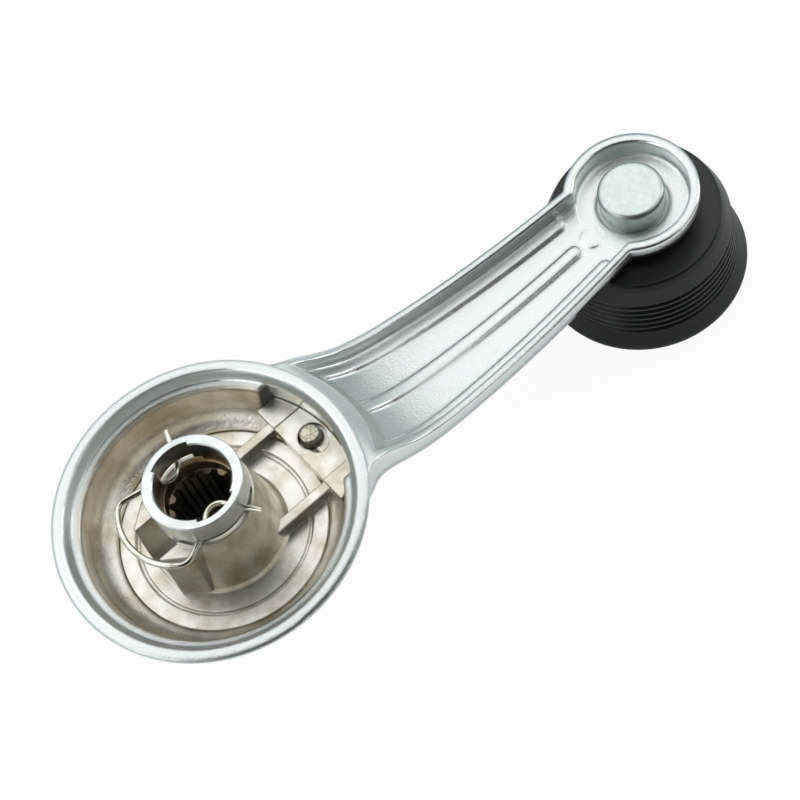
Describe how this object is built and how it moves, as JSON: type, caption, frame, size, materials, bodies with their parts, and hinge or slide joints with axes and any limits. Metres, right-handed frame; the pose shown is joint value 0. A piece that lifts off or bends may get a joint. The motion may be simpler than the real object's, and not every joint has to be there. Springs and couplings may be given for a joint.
{
  "type": "window winder handle",
  "caption": "Crank handle for winding a car window: a domed cup round a splined hub with a wire clip, a curved channel arm and a turning ribbed knob.",
  "frame": {"origin": "on the hub axis at the top of the sleeve's round pilot, which is the floor of the clip slots, 6.7 mm inside the sleeve's mouth", "axes": "+Z out of the spindle socket towards the door, +X from the hub axis to the knob axis, +Y by the right-hand rule"},
  "size_m": [0.158, 0.0612, 0.0561],
  "materials": {
    "bright_plating": "bright plated zinc casting",
    "satin_nickel": "satin nickel on a zinc casting",
    "zinc_plated_steel": "zinc plated, machined",
    "spring_wire": "plated spring wire",
    "rivet_steel": "zinc plated, tumbled",
    "bare_steel": "bare steel",
    "nylon": "natural nylon",
    "black_moulding": "semi-gloss black moulding"
  },
  "bodies": {
    "handle": {"handle_casting": "bright_plating", "hub_casting": "satin_nickel", "stake_pin": "bare_steel", "drive_sleeve": "zinc_plated_steel", "knob_rivet": "rivet_steel", "friction_washer": "nylon", "retaining_washer": "bare_steel"},
    "knob": {"knob_body": "black_moulding", "knob_cap": "black_moulding"},
    "clip": {"retaining_clip": "spring_wire"}
  },
  "joints": [
    {"name": "knob_spin", "type": "hinge", "parent": "handle", "child": "knob", "pos_m": [0.1055, 0, -0.0267], "axis": [0, 0, 1], "continuous": true},
    {"name": "clip_slide", "type": "slide", "parent": "handle", "child": "clip", "axis": [-0.993, -0.1184, 0], "range_m": [0, 0.012]}
  ]
}
